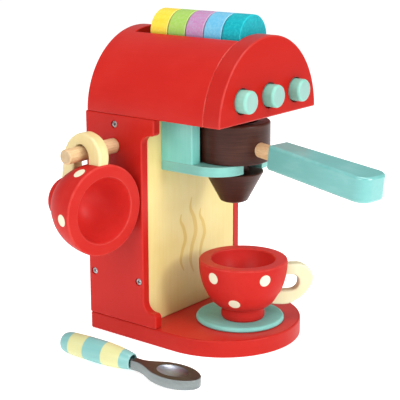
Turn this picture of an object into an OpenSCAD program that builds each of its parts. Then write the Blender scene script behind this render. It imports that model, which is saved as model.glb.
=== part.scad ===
// Wooden toy coffee maker: a box column on a round-fronted base carries an
// arched hood with push buttons and a slot for play capsules. A bracket under
// the hood holds a turning filter holder. Two cups and a spoon go with it.
// Millimetres, +Z up, front towards -Y, origin at the centre of the base
// board's underside.

/* [Body] */
// Width across the base, side panels and hood
body_w = 130; // [126:1:134]
// Height of the hood's underside above the table
seam_z = 186.2; // [184.2:0.5:188.2]
// Thickness of the base board
base_t = 14; // [12:1:16]
// Thickness of each side panel
panel_t = 7.5; // [6.5:0.5:9]
// Wall of the arched hood shell
hood_wall = 12; // [10:0.5:13]
// Thickness of the hood's front board
front_board_t = 15.5; // [15:0.5:17]

/* [Buttons] */
// Diameter of each push button
button_d = 18; // [16:0.5:18.5]
// Distance between neighbouring buttons
button_pitch = 36; // [33:0.5:36.5]
// How far each button stands proud of the hood's front
button_out = 9; // [7:0.5:11]

/* [Capsules] */
// Diameter of a play capsule
capsule_d = 36; // [32:0.5:36.5]
// Thickness of a play capsule
capsule_t = 18; // [14:0.5:18]

/* [Filter holder] */
// Diameter of the filter holder's drum
drum_d = 58; // [54:0.5:58.4]
// Angle of the handle from straight ahead
handle_swing = 8.2; // [0:0.1:40]
// Length of the handle block
handle_len = 99.5; // [80:0.5:110]
// Thickness of the bracket's fork plate
fork_t = 8; // [6:0.5:8]

/* [Cups] */
// Outer diameter of a cup's rim
cup_d = 72.4; // [70:0.1:73]
// Height of a cup
cup_h = 50; // [48:0.1:51]
// Thickness of a cup's flat handle
cup_handle_t = 10; // [9:0.5:10.5]
// How far the cup peg stands out of the side panel
peg_out = 54.5; // [50:0.5:60]

/* [Hidden] */
$fn = 64;
dowel_r = 6;
R = body_w/2;

// side panels, measured along Y (front is -Y)
col_back = 78;
col_front = 18.5;
flange_front = 5.6;
flange_h = 13.5;
foot_h = 12.3;
lip_r = 8;
corner_r = 3;

// base board
base_cy = -13;

// front and back panels between the side panels
fp_y0 = 19;
fp_t = 9.5;
bp_y0 = 67;
bp_t = 10;
rail_h = 14;
in_w = body_w - 2*panel_t;

// hood
// the arch is a little less than half round: its centre lies below its underside
arch_drop = 1.2;
arch_z = seam_z - arch_drop;
hood_front = -58;
board_rear = hood_front + front_board_t;
hood_back = 76;
slot_back = 62;
slot_w = 41;
Ri = R - hood_wall;
bottom_t = 10;
tray_floor_z = 229;

// buttons
button_z = 203.5;
button_bore_r = 10;
flange_y0 = -50;
spring_board_t = 14;
pocket_depth = 9;

// filter holder
hold_x = 0;
hold_y = -24;
plate_z1 = 148.5;
plate_z0 = plate_z1 - fork_t;
drum_z1 = plate_z1 + 32;
neck_r = 11.8;
cone_z1 = plate_z0 - 1;
dowel_z = 162.8;
handle_tilt = 5.4;

// peg and hanging cup: where its foot's centre hangs, how far it is turned
// and how far its mouth tips down
peg_y = 47.9;
peg_z = 160.75;
hang_at = [-95.3, 73.5, 120.1];
hang_yaw = -8;
hang_tip = 1.75;

// loose pieces
plate_top = base_t + 4;
capsule_y0 = board_rear + 0.5;

RED = [0.82, 0.16, 0.13];
CREAM = [0.96, 0.88, 0.62];
MINT = [0.55, 0.82, 0.76];
BROWN = [0.30, 0.20, 0.17];
BARE = [0.88, 0.68, 0.48];
STEEL = [0.72, 0.73, 0.74];

// Draws a profile given in Y (first) and Z (second) and extrudes it along +X from x0.
module along_x(x0, len) { translate([x0, 0, 0]) rotate([90, 0, 90]) linear_extrude(len) children(); }
// Draws a profile given in X and Z and extrudes it along +Y from y0.
module along_y(y0, len) { translate([0, y0 + len, 0]) rotate([90, 0, 0]) linear_extrude(len) children(); }
// A cylinder lying along +Y from y0.
module rod_y(x, z, y0, len, r, fn = 64) { translate([x, y0, z]) rotate([-90, 0, 0]) cylinder(h = len, r = r, $fn = fn); }
// A cylinder lying along +X from x0.
module rod_x(y, z, x0, len, r, fn = 64) { translate([x0, y, z]) rotate([0, 90, 0]) cylinder(h = len, r = r, $fn = fn); }
// Upper part of a disc, standing on the hood's seam line.
module half_disc(r) { intersection() { translate([0, arch_z]) circle(r, $fn = 128); translate([-r - 1, seam_z]) square([2*r + 2, r + 2]); } }

// ---------------------------------------------------------------- column
base_screw_x = 35;
module base_board() {
  color(RED) difference() {
    linear_extrude(base_t) union() {
      translate([0, base_cy]) circle(R, $fn = 128);
      translate([-R, base_cy]) square([body_w, col_back - base_cy]);
    }
    for (x = [-base_screw_x, base_screw_x], y = [fp_y0 + fp_t/2, bp_y0 + bp_t/2]) {
      translate([x, y, -1]) cylinder(h = base_t + 2, r = 1.8, $fn = 32);
      translate([x, y, -1]) cylinder(h = 4, r = 4, $fn = 32);
    }
  }
}

module base_screws() {
  color(STEEL) for (x = [-base_screw_x, base_screw_x], y = [fp_y0 + fp_t/2, bp_y0 + bp_t/2]) translate([x, y, 0]) {
    difference() {
      translate([0, 0, 1.2]) cylinder(h = 1.8, r = 3.6, $fn = 32);
      translate([-2.4, -0.4, 1]) cube([4.8, 0.8, 1]);
      translate([-0.4, -2.4, 1]) cube([0.8, 4.8, 1]);
    }
    translate([0, 0, 3]) cylinder(h = 27, r = 1.5, $fn = 32);
  }
}

module drip_plate() {
  color(MINT) translate([0, -31, base_t])
    rotate_extrude($fn = 128) polygon([[0, 0], [35.6, 0], [36.4, 0.8], [36.4, 3], [35.4, 4], [0, 4]]);
}

// Side view of a side panel: a column with a flange under the hood and a foot
// on the base, joined to the column's front edge by hollow curves.
module panel_profile() {
  z0 = base_t;
  z1 = seam_z;
  union() {
    translate([col_front, z0]) square([col_back - col_front, z1 - z0]);
    // flange under the hood
    translate([flange_front + corner_r, z1 - flange_h]) square([col_front - flange_front, flange_h]);
    translate([flange_front, z1 - flange_h + corner_r]) square([corner_r + 1, flange_h - corner_r]);
    translate([flange_front + corner_r, z1 - flange_h + corner_r]) circle(corner_r, $fn = 48);
    difference() {
      translate([col_front - lip_r, z1 - flange_h - lip_r]) square([lip_r + 1, lip_r + 1]);
      translate([col_front - lip_r, z1 - flange_h - lip_r]) circle(lip_r, $fn = 64);
    }
    // foot on the base
    translate([flange_front + corner_r, z0]) square([col_front - flange_front, foot_h]);
    translate([flange_front, z0]) square([corner_r + 1, foot_h - corner_r]);
    translate([flange_front + corner_r, z0 + foot_h - corner_r]) circle(corner_r, $fn = 48);
    difference() {
      translate([col_front - lip_r, z0 + foot_h - 1]) square([lip_r + 1, lip_r + 1]);
      translate([col_front - lip_r, z0 + foot_h + lip_r]) circle(lip_r, $fn = 64);
    }
  }
}

// Screw places on a side panel, as [y, z].
panel_screw_at = [[47, seam_z - 8.2], [bp_y0 + bp_t/2, 51], [fp_y0 + fp_t/2, 51]];

module side_panel_left() {
  color(RED) difference() {
    along_x(-R, panel_t) panel_profile();
    for (p = panel_screw_at) {
      rod_x(p[0], p[1], -R - 1, 12, 1.5, 32);
      rod_x(p[0], p[1], -R - 1, 3.2, 3, 32);
    }
    rod_x(peg_y, peg_z, -R - 1, 12, dowel_r);
  }
}

module side_panel_right() {
  color(RED) difference() {
    along_x(R - panel_t, panel_t) panel_profile();
    for (p = panel_screw_at) {
      rod_x(p[0], p[1], R - 11, 12, 1.5, 32);
      rod_x(p[0], p[1], R - 2.2, 3.2, 3, 32);
    }
  }
}

module panel_screws() {
  color(STEEL) for (s = [0, 1], p = panel_screw_at) mirror([s, 0, 0]) {
    difference() {
      rod_x(p[0], p[1], R - 2.2, 1.7, 2.9, 32);
      translate([R - 1.3, p[0] - 1.9, p[1] - 0.35]) cube([2, 3.8, 0.7]);
      translate([R - 1.3, p[0] - 0.35, p[1] - 1.9]) cube([2, 0.7, 3.8]);
    }
    rod_x(p[0], p[1], R - 24, 21.8, 1.5, 32);
  }
}

module front_panel() {
  color(CREAM) difference() {
    translate([-in_w/2, fp_y0, base_t]) cube([in_w, fp_t, seam_z - base_t]);
    for (s = [-1, 1]) rod_x(fp_y0 + fp_t/2, 51, s*(in_w/2 - 8.5) - 8.5, 17, 1.5, 32);
    for (x = [-base_screw_x, base_screw_x]) translate([x, fp_y0 + fp_t/2, base_t - 1]) cylinder(h = 17, r = 1.5, $fn = 32);
  }
}

module back_panel() {
  color(RED) difference() {
    translate([-in_w/2, bp_y0, base_t]) cube([in_w, bp_t, seam_z - base_t]);
    for (s = [-1, 1]) rod_x(bp_y0 + bp_t/2, 51, s*(in_w/2 - 8.5) - 8.5, 17, 1.5, 32);
    for (x = [-base_screw_x, base_screw_x]) translate([x, bp_y0 + bp_t/2, base_t - 1]) cylinder(h = 17, r = 1.5, $fn = 32);
  }
}

hood_screw_x = 30;
hood_screw_y = 47;
module top_rail() {
  y0 = fp_y0 + fp_t;
  color(BARE) difference() {
    translate([-in_w/2, y0, seam_z - rail_h]) cube([in_w, bp_y0 - y0, rail_h]);
    for (s = [-1, 1]) rod_x(47, seam_z - 8.2, s*(in_w/2 - 8.5) - 8.5, 17, 1.5, 32);
    for (x = [-hood_screw_x, hood_screw_x]) translate([x, hood_screw_y, seam_z - rail_h - 1]) {
      cylinder(h = rail_h + 2, r = 1.8, $fn = 32);
      cylinder(h = 4, r = 4, $fn = 32);
    }
  }
}

module hood_screws() {
  color(STEEL) for (x = [-hood_screw_x, hood_screw_x]) translate([x, hood_screw_y, seam_z - rail_h]) {
    difference() {
      translate([0, 0, 1.2]) cylinder(h = 1.8, r = 3.6, $fn = 32);
      translate([-2.4, -0.4, 1]) cube([4.8, 0.8, 1]);
      translate([-0.4, -2.4, 1]) cube([0.8, 4.8, 1]);
    }
    translate([0, 0, 3]) cylinder(h = 19, r = 1.5, $fn = 32);
  }
}

// ------------------------------------------------------------------ hood
module hood_shell() {
  color(RED) difference() {
    along_y(board_rear, hood_back - board_rear) half_disc(R);
    // hollow inside, open at the front and below
    along_y(board_rear - 1, slot_back - board_rear + 1) union() {
      intersection() {
        translate([0, arch_z]) circle(Ri, $fn = 128);
        translate([-Ri, seam_z - 1]) square([2*Ri, Ri + 2]);
      }
    }
    // slot for the capsules
    translate([-slot_w/2, board_rear - 1, tray_floor_z]) cube([slot_w, slot_back - board_rear + 1, R]);
  }
}

module hood_front_board() {
  color(RED) difference() {
    along_y(hood_front, front_board_t) half_disc(R);
    for (i = [-1, 0, 1]) {
      rod_y(i*button_pitch, button_z, hood_front - 1, front_board_t + 2, button_bore_r);
      rod_y(i*button_pitch, button_z, flange_y0, 20, 12.5);
    }
  }
}

module hood_bottom_board() {
  w = 2*sqrt(Ri*Ri - pow(bottom_t + arch_drop, 2));
  color(RED) difference() {
    translate([-w/2, board_rear, seam_z]) cube([w, slot_back - board_rear, bottom_t]);
    for (x = [-hood_screw_x, hood_screw_x]) translate([x, hood_screw_y, seam_z - 1]) cylinder(h = 9, r = 1.5, $fn = 32);
    for (s = [-1, 1]) translate([s*(R - 30.1), 3, seam_z - 1]) cylinder(h = bottom_t + 2, r = 1.8, $fn = 32);
  }
}

module capsule_tray() {
  z0 = tray_floor_z - 3;
  lip = slot_w/2 + 3;
  color(RED) along_y(board_rear, slot_back - board_rear) difference() {
    intersection() {
      translate([-lip, z0]) square([2*lip, 20]);
      translate([0, arch_z]) circle(Ri, $fn = 128);
    }
    translate([-slot_w/2, tray_floor_z]) square([slot_w, 20]);
  }
}

module tray_supports() {
  z0 = seam_z + bottom_t;
  color(BARE) for (y = [-12, 40]) translate([-20, y, z0]) cube([40, 14, tray_floor_z - 3 - z0]);
}

module button_spring_board() {
  z0 = seam_z + bottom_t;
  color(BARE) difference() {
    translate([-44, board_rear, z0]) cube([88, spring_board_t, 17]);
    for (i = [-1, 0, 1]) rod_y(i*button_pitch, button_z, board_rear - 1, pocket_depth + 1, 5.5, 48);
  }
}

// --------------------------------------------------------------- buttons
module button(i) {
  r = button_d/2;
  y0 = hood_front - button_out;
  color(MINT) translate([i*button_pitch, y0, button_z]) rotate([-90, 0, 0]) rotate_extrude($fn = 64)
    polygon([[0, 0], [r - 1.4, 0], [r - 0.4, 0.4], [r, 1.4], [r, flange_y0 - y0], [12, flange_y0 - y0],
             [12, flange_y0 + 3 - y0], [2.5, flange_y0 + 3 - y0], [2.5, flange_y0 + 12 - y0], [0, flange_y0 + 12 - y0]]);
}

// Compression spring: a wire of radius w wound on radius rc, along +Y from y0 for len.
module coil(rc, w, turns, len, seg = 14, side = 6) {
  n = turns*seg;
  pts = [for (k = [0:n]) let (a = 360*k/seg, z = w + (len - 2*w)*k/n)
           for (j = [0:side - 1]) let (b = 360*j/side) [(rc + w*cos(b))*cos(a), (rc + w*cos(b))*sin(a), z + w*sin(b)]];
  faces = concat([[for (j = [0:side - 1]) j]],
                 [for (k = [0:n - 1], j = [0:side - 1]) [k*side + j, (k + 1)*side + j, (k + 1)*side + (j + 1)%side, k*side + (j + 1)%side]],
                 [[for (j = [side - 1:-1:0]) n*side + j]]);
  polyhedron(pts, faces, convexity = 8);
}

module spring(i) {
  y0 = flange_y0 + 3.05;
  y1 = board_rear + pocket_depth - 0.05;
  color(STEEL) translate([i*button_pitch, y0, button_z]) rotate([-90, 0, 0]) coil(4.2, 0.5, 5, y1 - y0);
}

module button_left() { button(-1); }
module button_centre() { button(0); }
module button_right() { button(1); }
module spring_left() { spring(-1); }
module spring_centre() { spring(0); }
module spring_right() { spring(1); }

// --------------------------------------------------------------- bracket
cheek_in = drum_d/2 + 0.75;
cheek_out = 40;
cheek_front = -12.4;
module cheek(s) {
  x0 = s > 0 ? cheek_in : -cheek_out;
  color(MINT) difference() {
    translate([x0, cheek_front, plate_z1]) cube([cheek_out - cheek_in, fp_y0 - cheek_front, seam_z - plate_z1]);
    translate([s*(cheek_in + cheek_out)/2, 3, seam_z - 14]) cylinder(h = 20, r = 1.5, $fn = 32);
    translate([s*(cheek_in + cheek_out)/2, 3, plate_z1 - 1]) cylinder(h = 14, r = 1.5, $fn = 32);
  }
}
module bracket_cheek_left() { cheek(-1); }
module bracket_cheek_right() { cheek(1); }

// Horseshoe plate under the cheeks. The slot between its arms is open to the front.
fork_front = -43;
fork_r = 26;
fork_slot_r = 12.5;
module fork_plate() {
  color(MINT) difference() {
    translate([0, 0, plate_z0]) linear_extrude(fork_t) difference() {
      union() {
        translate([-cheek_out, fork_front + fork_r]) square([2*cheek_out, fp_y0 - fork_front - fork_r]);
        translate([-cheek_out + fork_r, fork_front]) square([2*(cheek_out - fork_r), fork_r + 1]);
        for (s = [-1, 1]) translate([s*(cheek_out - fork_r), fork_front + fork_r]) circle(fork_r, $fn = 96);
      }
      translate([hold_x, hold_y]) circle(fork_slot_r, $fn = 96);
      translate([-fork_slot_r, fork_front - 1]) square([2*fork_slot_r, hold_y - fork_front + 1]);
    }
    for (s = [-1, 1]) translate([s*(cheek_in + cheek_out)/2, 3, plate_z0 - 1]) {
      cylinder(h = fork_t + 2, r = 1.8, $fn = 32);
      cylinder(h = 4, r = 3.4, $fn = 32);
    }
  }
}

module bracket_screws() {
  color(STEEL) for (s = [-1, 1]) translate([s*(cheek_in + cheek_out)/2, 3, 0]) {
    // up through the fork plate into each cheek
    difference() {
      translate([0, 0, plate_z0 + 1.2]) cylinder(h = 1.8, r = 3.1, $fn = 32);
      translate([-2.1, -0.4, plate_z0 + 1]) cube([4.2, 0.8, 1]);
      translate([-0.4, -2.1, plate_z0 + 1]) cube([0.8, 4.2, 1]);
    }
    translate([0, 0, plate_z0 + 3]) cylinder(h = 16, r = 1.5, $fn = 32);
    // down through the hood's bottom board into each cheek
    translate([0, 0, seam_z + bottom_t]) cylinder(h = 1.8, r = 3.1, $fn = 32);
    translate([0, 0, seam_z - 13]) cylinder(h = 13 + bottom_t, r = 1.5, $fn = 32);
  }
}

module cup_peg() {
  x0 = -R - peg_out;
  L = peg_out + panel_t;
  color(BARE) translate([x0, peg_y, peg_z]) rotate([0, 90, 0]) rotate_extrude($fn = 64)
    polygon([[0, 0], [dowel_r - 0.9, 0], [dowel_r, 0.9], [dowel_r, L], [0, L]]);
}

// --------------------------------------------------------- filter holder
module aim() { translate([hold_x, hold_y, dowel_z]) rotate([handle_tilt, 0, -handle_swing]) children(); }

module filter_drum() {
  r = drum_d/2;
  z0 = plate_z1;
  z1 = drum_z1;
  color(BROWN) difference() {
    translate([hold_x, hold_y, 0]) rotate_extrude($fn = 128)
      polygon([[0, z0 + 8], [8, z0 + 8], [8, z0], [r - 0.8, z0], [r, z0 + 0.8], [r, z1 - 2], [r - 0.6, z1 - 0.6], [r - 2, z1],
               [19.5, z1], [18.8, z1 - 0.7], [18.8, z1 - 16], [0, z1 - 16]]);
    aim() rod_y(0, 0, -60, 60 - 19.8, dowel_r);
  }
}

module filter_spout() {
  z0 = plate_z1;
  color(BROWN) translate([hold_x, hold_y, 0]) rotate_extrude($fn = 128)
    polygon([[0, z0 + 8], [8, z0 + 8], [8, z0], [neck_r, z0], [neck_r, cone_z1], [23.4, cone_z1], [24.2, cone_z1 - 0.9],
             [12.1, cone_z1 - 23.6], [11.3, cone_z1 - 24.7], [10.2, cone_z1 - 25.5], [8.4, cone_z1 - 25.9], [0, cone_z1 - 25.9]]);
}

module filter_dowel() {
  color(BARE) aim() rod_y(0, 0, -70, 70 - 19.8, dowel_r);
}

// Tapered block with rounded far corners, on the dowel.
module filter_handle() {
  y0 = -46;
  y1 = y0 - handle_len;
  near_w = 21.6;
  far_w = 30.3;
  rc = 10;
  h = 20;
  color(MINT) aim() difference() {
    translate([0, 0, -h/2]) linear_extrude(h) hull() {
      translate([-near_w/2, y0 - 1]) square([near_w, 1]);
      for (s = [-1, 1]) translate([s*(far_w/2 - rc), y1 + rc]) circle(rc, $fn = 32);
    }
    rod_y(0, 0, -70, 30, dowel_r);
  }
}

// ------------------------------------------------------------------ cups
// Outside of a cup as [radius, height], from the foot up to the rim.
k = cup_h/50;
kr = cup_d/72.4;
cup_out = [[0, 0], [16.6, 0], [17.4, 0.4], [17.9, 2.2], [17.9, 3.8], [17.6, 6], [17.3, 8.6], [17.3, 10], [18.2, 10.4], [20.6, 10.9], [22.8, 12.2],
           [25.8, 15.2], [28.6, 19.1], [31, 23.5], [33, 28.2], [34.5, 33], [35.5, 38], [36, 42.4], [36.2, 46], [36.1, 48.4], [35.7, 49.5], [35, 50]];
cup_in = [for (i = [0:12]) let (a = 90 - 90*i/12) [26.25*sin(a), 48.8 - 31.8*cos(a)]];
module cup_bowl() {
  rotate_extrude($fn = 96) polygon([for (p = concat(cup_out, [[27.6, 50]], cup_in)) [p[0]*kr, p[1]*k]]);
}

// Outlines of the two ears in X (outwards) and Z (up), ending inside the bowl.
// The hanging cup's ear is the larger one.
ear_front = [[20.5, 12.6], [23.4, 10.2], [30.2, 9.5], [36.1, 9.5], [41.1, 10.9], [46.1, 13.6], [50.4, 17], [53.8, 20.9], [56.7, 25.2], [58.1, 29.5],
             [58, 33], [56.6, 36.6], [54, 39.6], [50.5, 42.3], [46, 44], [31, 44], [30, 30]];
ear_hanging = [[15.5, 1.2], [28.4, 3], [36, 4.5], [41, 5.8], [44, 7.2], [48.6, 10.3], [52.4, 14.3], [55.7, 19.4], [57.9, 24.8], [58.6, 28.6],
               [58.3, 32.6], [56.9, 38.3], [54.2, 43.4], [50, 47.2], [45.2, 49.3], [41, 49.7], [36.6, 49.1], [33, 47.6], [30, 30], [22, 14]];

// Flat ear with a finger hole of radius r that runs from h = [x, z] to the bowl.
module cup_handle(outline, h, r) {
  difference() {
    translate([0, cup_handle_t/2, 0]) rotate([90, 0, 0]) linear_extrude(cup_handle_t) difference() {
      polygon(outline);
      translate(h) circle(r, $fn = 64);
      translate([h[0] - 20, h[1] - r]) square([20, 2*r]);
    }
    rotate_extrude($fn = 96) polygon([for (p = concat(cup_out, [[0, 50]])) [p[0]*kr, p[1]*k]]);
  }
}

module place_front() { translate([-3.5, -36.4, plate_top]) rotate([0, 0, -43]) children(); }
// The hanging cup's mouth faces the front and its ear hangs on the peg.
module place_hanging() { translate(hang_at) rotate([0, 0, hang_yaw]) rotate([hang_tip, 0, 0]) rotate([90, -90, 0]) children(); }
module cup_front_bowl() { color(RED) place_front() cup_bowl(); }
module cup_front_handle() { color(CREAM) place_front() cup_handle(ear_front, [39.2, 28.05], 6.85); }
module cup_hanging_bowl() { color(RED) place_hanging() cup_bowl(); }
module cup_hanging_handle() { color(CREAM) place_hanging() cup_handle(ear_hanging, [39.2, 26.2], 9.4); }

// -------------------------------------------------------------- capsules
module capsule(i, c) {
  r = capsule_d/2;
  color(c) translate([0, capsule_y0 + i*(capsule_t + 0.1), tray_floor_z + r]) rotate([-90, 0, 0])
    rotate_extrude($fn = 96) polygon([[0, 0], [r - 0.8, 0], [r, 0.8], [r, capsule_t - 0.8], [r - 0.8, capsule_t], [0, capsule_t]]);
}
module capsule_teal() { capsule(0, [0.13, 0.68, 0.70]); }
module capsule_blue() { capsule(1, [0.45, 0.76, 0.90]); }
module capsule_purple() { capsule(2, [0.77, 0.57, 0.75]); }
module capsule_green() { capsule(3, [0.62, 0.82, 0.40]); }
module capsule_yellow() { capsule(4, [0.98, 0.86, 0.27]); }

// ----------------------------------------------------------------- spoon
// The spoon lies on the table, tipped so that the scoop's tip touches down.
spoon_at = [-118.85, 20.6, 9.7];
spoon_tip = 2.65;
spoon_turn = 5.8;
module place_spoon() { translate(spoon_at) rotate([spoon_tip, 0, spoon_turn]) children(); }
module spoon_handle() {
  color(MINT) place_spoon() rotate([90, 0, 0]) rotate_extrude($fn = 64)
    polygon([[0, -33.7], [3.4, -33.3], [6, -32.1], [7.7, -30.2], [8.55, -27.5], [8.9, -23.7], [9.2, -13.2], [9.36, 0], [9.1, 12.3], [8.25, 21.9], [7.4, 28.1],
             [6.5, 33.2], [6.1, 34.2], [5.6, 34.6], [5.1, 34.3], [5.1, 24], [0, 24]]);
}
// Flat scoop board with a shallow oval dish, drawn from above with -Y towards the tip.
scoop_z0 = -5.3;
scoop_t = 7.6;
scoop_half = [[3.8, -35], [3.8, -42], [5.2, -46.5], [7.3, -50.5], [9.3, -54], [10.8, -56.5], [12.5, -60.5], [13.6, -64.5], [14.2, -68.5], [14.5, -73.5],
              [14.2, -78], [12.8, -82.5], [11, -86.5], [9, -89.5], [7, -92], [4, -93.9], [1.4, -95]];
module spoon_scoop() {
  n = len(scoop_half);
  color([0.55, 0.55, 0.55]) place_spoon() difference() {
    union() {
      translate([0, 0, scoop_z0]) linear_extrude(scoop_t)
        polygon(concat(scoop_half, [for (i = [n - 1:-1:0]) [-scoop_half[i][0], scoop_half[i][1]]]));
      // tenon that goes into the handle's hollow end
      rotate([90, 0, 0]) translate([0, scoop_z0 + scoop_t/2, 24]) cylinder(h = 14, r = 3.3, $fn = 32);
    }
    // dish: a hollow ground 3.2 mm deep into the board's top
    for (y = [-74.9, -67.1]) translate([0.3, y, 14.07]) sphere(15, $fn = 64);
    rod_y(0.3, 14.07, -74.9, 7.8, 15);
  }
}

base_board();
drip_plate();
side_panel_left();
side_panel_right();
front_panel();
back_panel();
top_rail();
panel_screws();
base_screws();
hood_screws();
hood_shell();
hood_front_board();
hood_bottom_board();
capsule_tray();
tray_supports();
button_spring_board();
bracket_cheek_left();
bracket_cheek_right();
fork_plate();
bracket_screws();
cup_peg();
button_left();
button_centre();
button_right();
spring_left();
spring_centre();
spring_right();
filter_drum();
filter_spout();
filter_dowel();
filter_handle();
cup_front_bowl();
cup_front_handle();
cup_hanging_bowl();
cup_hanging_handle();
capsule_yellow();
capsule_green();
capsule_purple();
capsule_blue();
capsule_teal();
spoon_handle();
spoon_scoop();
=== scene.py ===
import math

import bpy
import numpy as np
from mathutils import Matrix, Vector
from mathutils.geometry import delaunay_2d_cdt, tessellate_polygon


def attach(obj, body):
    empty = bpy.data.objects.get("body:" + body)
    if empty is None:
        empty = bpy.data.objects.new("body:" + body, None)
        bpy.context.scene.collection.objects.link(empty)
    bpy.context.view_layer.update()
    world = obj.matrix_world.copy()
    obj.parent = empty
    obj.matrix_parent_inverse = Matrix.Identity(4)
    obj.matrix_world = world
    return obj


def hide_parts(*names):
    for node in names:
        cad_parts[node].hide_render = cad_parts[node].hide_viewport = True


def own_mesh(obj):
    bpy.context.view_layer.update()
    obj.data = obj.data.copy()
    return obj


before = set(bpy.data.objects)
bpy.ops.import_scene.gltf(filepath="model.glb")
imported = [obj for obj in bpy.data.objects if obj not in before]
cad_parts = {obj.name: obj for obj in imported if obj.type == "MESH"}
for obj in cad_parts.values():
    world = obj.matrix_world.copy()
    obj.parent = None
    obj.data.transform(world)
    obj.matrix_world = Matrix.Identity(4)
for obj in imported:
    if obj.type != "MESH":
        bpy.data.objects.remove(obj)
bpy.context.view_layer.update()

MM = 0.001

# --------------------------------------------------------------- placing
# A placing is (origin, U, V, W): a point (u, v, w) in mm goes to origin + u U + v V + w W.
UP = ((0, 0, 0), (1, 0, 0), (0, 1, 0), (0, 0, 1))
TO_X = ((0, 0, 0), (0, 1, 0), (0, 0, 1), (1, 0, 0))  # u = Y, v = Z, w = X
TO_FRONT = ((0, 0, 0), (1, 0, 0), (0, 0, 1), (0, -1, 0))  # u = X, v = Z, w = -Y


def rot(axis, deg):
    a = math.radians(deg)
    c, s = math.cos(a), math.sin(a)
    return np.array(
        {
            "x": [[1, 0, 0], [0, c, -s], [0, s, c]],
            "y": [[c, 0, s], [0, 1, 0], [-s, 0, c]],
            "z": [[c, -s, 0], [s, c, 0], [0, 0, 1]],
        }[axis],
        float,
    )


def placing(origin, m=None, base=UP):
    """The placing `base` turned by m and then moved to origin (mm)."""
    m = np.eye(3) if m is None else m
    o, u, v, w = (np.array(x, float) for x in base)
    return (m @ o + np.array(origin, float), m @ u, m @ v, m @ w)


# --------------------------------------------------------------- outlines
def fillet(corners, seg=6):
    """A closed outline of (x, y, r) corners, each rounded to its radius r."""
    out, n = [], len(corners)
    for i in range(n):
        p0, p1, p2 = (np.array(corners[k % n][:2], float) for k in (i - 1, i, i + 1))
        r = corners[i][2]
        if r <= 0:
            out.append((p1[0], p1[1]))
            continue
        a, b = p0 - p1, p2 - p1
        a, b = a / np.linalg.norm(a), b / np.linalg.norm(b)
        half = math.acos(max(-1.0, min(1.0, float(a @ b)))) / 2
        s, e = p1 + a * r / math.tan(half), p1 + b * r / math.tan(half)
        c = p1 + (a + b) / np.linalg.norm(a + b) * r / math.sin(half)
        a0, a1 = math.atan2(*(s - c)[::-1]), math.atan2(*(e - c)[::-1])
        turn = (a1 - a0 + math.pi) % (2 * math.pi) - math.pi
        k = max(2, math.ceil(abs(turn) / (math.pi / 2) * seg))
        out += [
            (c[0] + r * math.cos(a0 + turn * j / k), c[1] + r * math.sin(a0 + turn * j / k))
            for j in range(k + 1)
        ]
    return out


def bend(corners, seg=4):
    """The same for an open profile: its two ends stay."""
    return fillet([corners[0][:2] + (0,), *corners[1:-1], corners[-1][:2] + (0,)], seg)


def arc(cx, cy, r, a0, a1, n):
    return [
        (
            cx + r * math.cos(math.radians(a0 + (a1 - a0) * k / n)),
            cy + r * math.sin(math.radians(a0 + (a1 - a0) * k / n)),
        )
        for k in range(n + 1)
    ]


def loop_data(loop):
    """For each vertex of a closed loop whose solid lies on its left: inset direction (mitred), outward normals before and after, and how edge-like it is."""
    p = np.array(loop, float)
    d = np.roll(p, -1, 0) - p
    ln = np.linalg.norm(d, axis=1)
    d = d / ln[:, None]
    out = np.stack([d[:, 1], -d[:, 0]], 1)  # outward normal of the edge after each vertex
    before, lb = np.roll(out, 1, 0), np.roll(ln, 1)
    miter = out + before
    miter /= np.linalg.norm(miter, axis=1)[:, None]
    cosine = np.clip((miter * out).sum(1), 0.3, 1)
    turn = np.arctan2(before[:, 0] * out[:, 1] - before[:, 1] * out[:, 0], (before * out).sum(1))
    smooth = out * ln[:, None] + before * lb[:, None]
    smooth /= np.linalg.norm(smooth, axis=1)[:, None]
    sharp = np.abs(turn) > math.radians(35)
    n_after = np.where(sharp[:, None], out, smooth)
    n_before = np.where(sharp[:, None], before, smooth)
    curve = turn / ((ln + lb) / 2)
    edge = np.clip((curve - 0.12) / 0.5, 0, 1)
    return p, -miter / cosine[:, None], n_before, n_after, edge


class Build:
    """Collects vertices, faces and corner normals, and makes one mesh object."""

    def __init__(self):
        self.v, self.f, self.n, self.e, self.m = [], [], [], [], []

    def add(self, points, edges):
        k = len(self.v)
        self.v += [tuple(x) for x in points]
        self.e += list(edges)
        return k

    def face(self, idx, normals, mat=0):
        self.f.append(tuple(idx))
        self.n += [tuple(x) for x in normals]
        self.m.append(mat)

    def make(self, name, place, mats, warp=None):
        o, u, v, w = (np.array(x, float) for x in place)
        p = np.array(self.v, float)
        if warp is not None:
            p = warp(p)
        world = (o + p[:, :1] * u + p[:, 1:2] * v + p[:, 2:] * w) * MM
        mesh = bpy.data.meshes.new(name)
        mesh.from_pydata([tuple(x) for x in world], [], self.f)
        for m in mats:
            mesh.materials.append(m)
        mesh.polygons.foreach_set("material_index", self.m)
        mesh.polygons.foreach_set("use_smooth", [True] * len(self.f))
        wear_and_highlight = mesh.attributes.new("edge_and_recess_mask", "FLOAT", "POINT")
        wear_and_highlight.data.foreach_set("value", np.array(self.e, np.float32))
        if len(self.n) == len(mesh.loops):
            n = np.array(self.n, float)
            n = n[:, :1] * u + n[:, 1:2] * v + n[:, 2:] * w
            n /= np.maximum(np.linalg.norm(n, axis=1), 1e-9)[:, None]
            mesh.normals_split_custom_set([tuple(x) for x in n])
        mesh.update()
        ob = bpy.data.objects.new(name, mesh)
        bpy.context.scene.collection.objects.link(ob)
        return ob


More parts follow.
